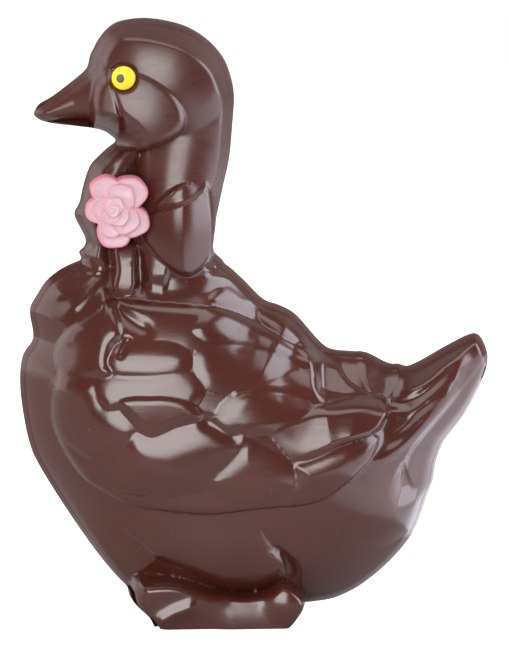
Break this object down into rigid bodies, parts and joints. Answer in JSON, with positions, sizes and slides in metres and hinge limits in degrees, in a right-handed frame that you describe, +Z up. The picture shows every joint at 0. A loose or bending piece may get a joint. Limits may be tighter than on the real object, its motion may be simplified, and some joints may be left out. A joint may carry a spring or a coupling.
{
  "type": "moulded chocolate goose",
  "caption": "Moulded dark chocolate goose standing on its feet, with a ribbon bow, a pink sugar rose on the knot and yellow sugar eyes.",
  "frame": {"origin": "on the surface that the goose stands on, under the middle of its overall box", "axes": "+Z up, beak towards -X, the side with the rose towards -Y; the mould seam lies in the plane y = 0"},
  "size_m": [0.14, 0.0628, 0.18],
  "materials": {
    "chocolate": "tempered dark chocolate, glossy from a polished mould",
    "pink_sugar": "soft matte sugar paste, pale on the ridges and pinker in the folds",
    "yellow_sugar": "smooth sugar, satin",
    "dark_sugar": "smooth dark grey sugar dot"
  },
  "bodies": {
    "root": {"goose": "chocolate", "rose": "pink_sugar", "eye_left": "yellow_sugar", "pupil_left": "dark_sugar", "eye_right": "yellow_sugar", "pupil_right": "dark_sugar"}
  },
  "joints": []
}
